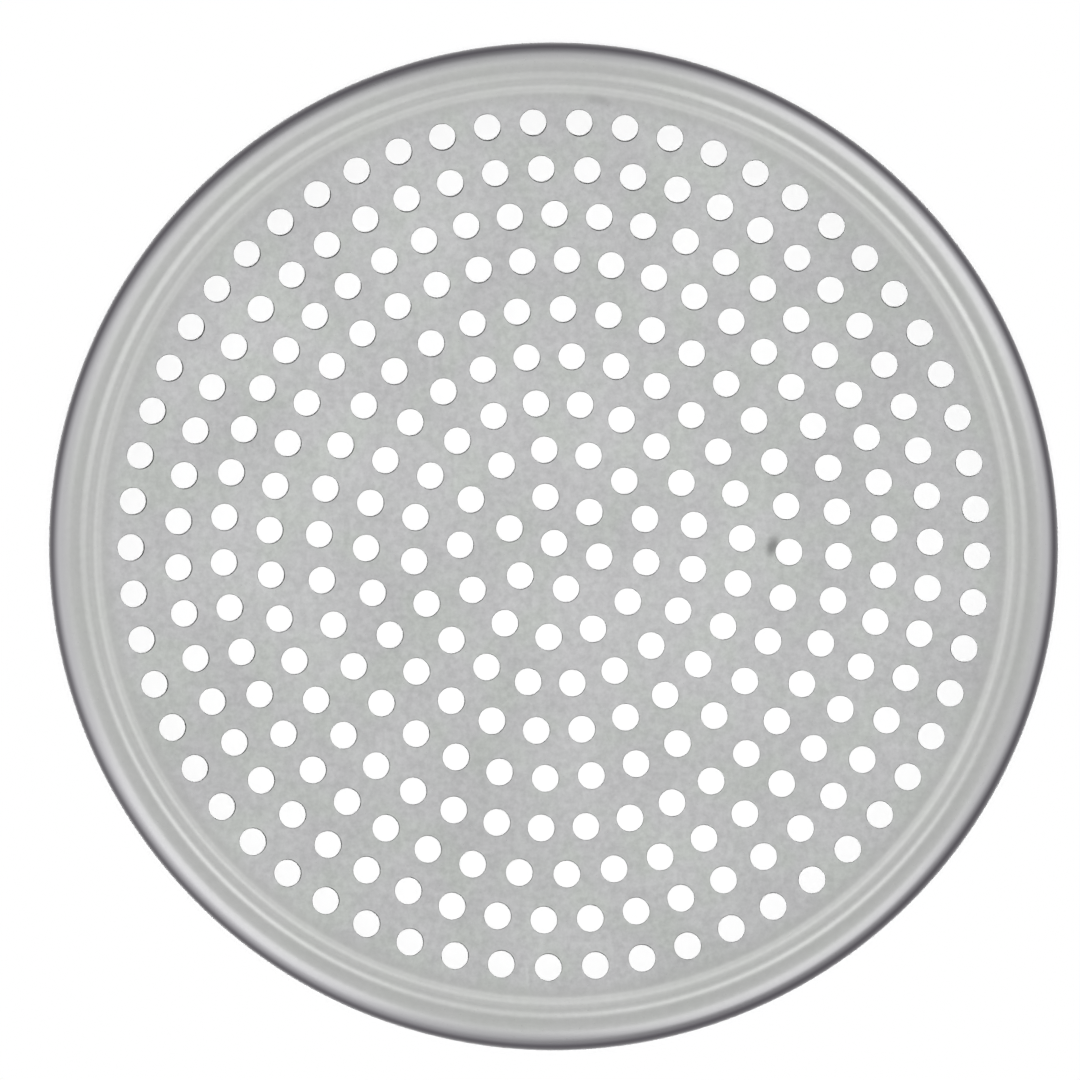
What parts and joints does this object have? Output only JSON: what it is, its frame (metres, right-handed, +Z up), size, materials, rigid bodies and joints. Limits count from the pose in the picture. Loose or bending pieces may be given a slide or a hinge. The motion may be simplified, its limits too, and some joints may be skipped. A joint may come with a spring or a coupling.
{
  "type": "perforated pizza disc",
  "caption": "Round pressed aluminium pizza disc: flat floor punched with rings of holes, a stiffening bead and a rim rolled down to a short skirt that lifts it for air flow.",
  "frame": {"origin": "centre of the circle that the skirt's edge stands on, under the middle of the disc", "axes": "+Z up out of the baking face, +X to the right and +Y away from the viewer as in the picture taken from above"},
  "size_m": [0.3556, 0.3556, 0.0107],
  "materials": {
    "satin_aluminium": "satin, rolled sheet as pressed, slightly mottled"
  },
  "bodies": {
    "root": {"perforated_disc": "satin_aluminium"}
  },
  "joints": []
}
